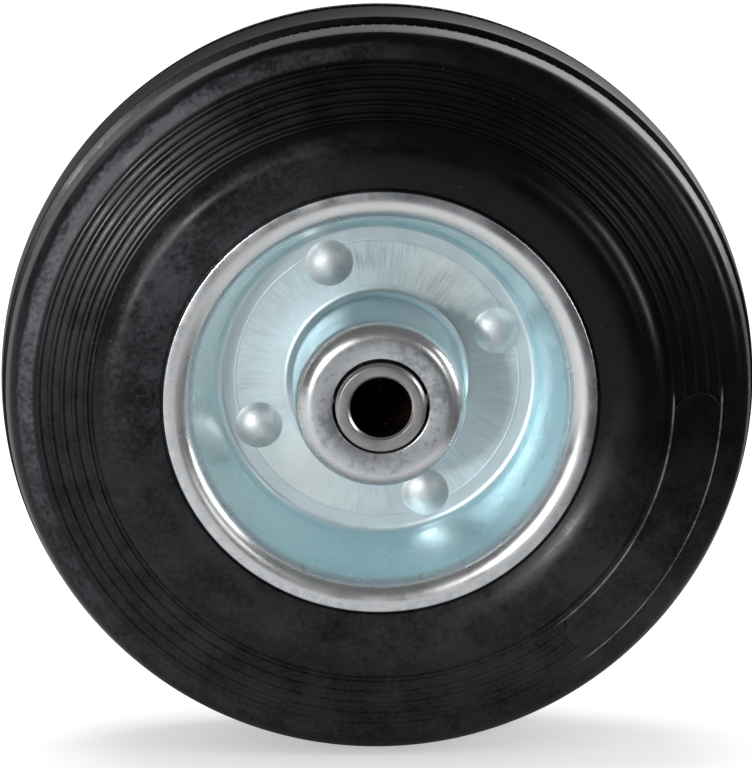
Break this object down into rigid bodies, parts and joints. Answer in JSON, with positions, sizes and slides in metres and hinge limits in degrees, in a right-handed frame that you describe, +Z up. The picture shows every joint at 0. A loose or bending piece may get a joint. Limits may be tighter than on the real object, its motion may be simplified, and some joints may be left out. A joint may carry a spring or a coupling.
{
  "type": "rubber trolley wheel",
  "caption": "Solid rubber trolley wheel with a ribbed side wall and grooved tread, on a riveted pressed-steel rim, turning on a caged roller bearing round an axle sleeve",
  "frame": {"origin": "the wheel's centre: the middle of the axle bore's axis, on the plane where the two rim halves meet", "axes": "+Y is the spin axis and points to the back of the wheel, +Z is up, and the side seen in the picture faces -Y"},
  "size_m": [0.125, 0.0418, 0.125],
  "materials": {
    "tyre_rubber": "moulded black rubber, matt with a few glossy flow marks",
    "rim_zinc": "pressed steel sheet, bright zinc plate",
    "rivet_zinc": "zinc plated steel, set heads",
    "bearing_steel": "ground bearing steel, greased",
    "cage_plastic": "moulded plastic, black with grease",
    "sleeve_steel": "turned steel tube, light rust in the bore"
  },
  "bodies": {
    "axle_sleeve": {"axle_sleeve": "sleeve_steel"},
    "wheel": {"tyre": "tyre_rubber", "rim_front": "rim_zinc", "rim_back": "rim_zinc", "rivet_1": "rivet_zinc", "rivet_2": "rivet_zinc", "rivet_3": "rivet_zinc", "rivet_4": "rivet_zinc", "bearing_housing": "bearing_steel"},
    "roller_cage": {"roller_cage": "cage_plastic"},
    "roller_1": {"roller_1": "bearing_steel"},
    "roller_2": {"roller_2": "bearing_steel"},
    "roller_3": {"roller_3": "bearing_steel"},
    "roller_4": {"roller_4": "bearing_steel"},
    "roller_5": {"roller_5": "bearing_steel"},
    "roller_6": {"roller_6": "bearing_steel"},
    "roller_7": {"roller_7": "bearing_steel"},
    "roller_8": {"roller_8": "bearing_steel"},
    "roller_9": {"roller_9": "bearing_steel"},
    "roller_10": {"roller_10": "bearing_steel"}
  },
  "joints": [
    {"name": "wheel_spin", "type": "hinge", "parent": "axle_sleeve", "child": "wheel", "pos_m": [0, 0, 0], "axis": [0, 1, 0], "continuous": true},
    {"name": "cage_spin", "type": "hinge", "parent": "axle_sleeve", "child": "roller_cage", "pos_m": [0, 0, 0], "axis": [0, 1, 0], "continuous": true},
    {"name": "roller_1_spin", "type": "hinge", "parent": "roller_cage", "child": "roller_1", "pos_m": [0.0095, 0, 0], "axis": [0, 1, 0], "continuous": true},
    {"name": "roller_2_spin", "type": "hinge", "parent": "roller_cage", "child": "roller_2", "pos_m": [0.00769, 0, 0.00558], "axis": [0, 1, 0], "continuous": true},
    {"name": "roller_3_spin", "type": "hinge", "parent": "roller_cage", "child": "roller_3", "pos_m": [0.00294, 0, 0.00904], "axis": [0, 1, 0], "continuous": true},
    {"name": "roller_4_spin", "type": "hinge", "parent": "roller_cage", "child": "roller_4", "pos_m": [-0.00294, 0, 0.00904], "axis": [0, 1, 0], "continuous": true},
    {"name": "roller_5_spin", "type": "hinge", "parent": "roller_cage", "child": "roller_5", "pos_m": [-0.00769, 0, 0.00558], "axis": [0, 1, 0], "continuous": true},
    {"name": "roller_6_spin", "type": "hinge", "parent": "roller_cage", "child": "roller_6", "pos_m": [-0.0095, 0, 0], "axis": [0, 1, 0], "continuous": true},
    {"name": "roller_7_spin", "type": "hinge", "parent": "roller_cage", "child": "roller_7", "pos_m": [-0.00769, 0, -0.00558], "axis": [0, 1, 0], "continuous": true},
    {"name": "roller_8_spin", "type": "hinge", "parent": "roller_cage", "child": "roller_8", "pos_m": [-0.00294, 0, -0.00904], "axis": [0, 1, 0], "continuous": true},
    {"name": "roller_9_spin", "type": "hinge", "parent": "roller_cage", "child": "roller_9", "pos_m": [0.00294, 0, -0.00904], "axis": [0, 1, 0], "continuous": true},
    {"name": "roller_10_spin", "type": "hinge", "parent": "roller_cage", "child": "roller_10", "pos_m": [0.00769, 0, -0.00558], "axis": [0, 1, 0], "continuous": true}
  ],
  "couplings": [
    {"joint": "cage_spin", "follows": "wheel_spin", "ratio": 0.60526},
    {"joint": "roller_1_spin", "follows": "wheel_spin", "ratio": 2.2697},
    {"joint": "roller_2_spin", "follows": "wheel_spin", "ratio": 2.2697},
    {"joint": "roller_3_spin", "follows": "wheel_spin", "ratio": 2.2697},
    {"joint": "roller_4_spin", "follows": "wheel_spin", "ratio": 2.2697},
    {"joint": "roller_5_spin", "follows": "wheel_spin", "ratio": 2.2697},
    {"joint": "roller_6_spin", "follows": "wheel_spin", "ratio": 2.2697},
    {"joint": "roller_7_spin", "follows": "wheel_spin", "ratio": 2.2697},
    {"joint": "roller_8_spin", "follows": "wheel_spin", "ratio": 2.2697},
    {"joint": "roller_9_spin", "follows": "wheel_spin", "ratio": 2.2697},
    {"joint": "roller_10_spin", "follows": "wheel_spin", "ratio": 2.2697}
  ]
}
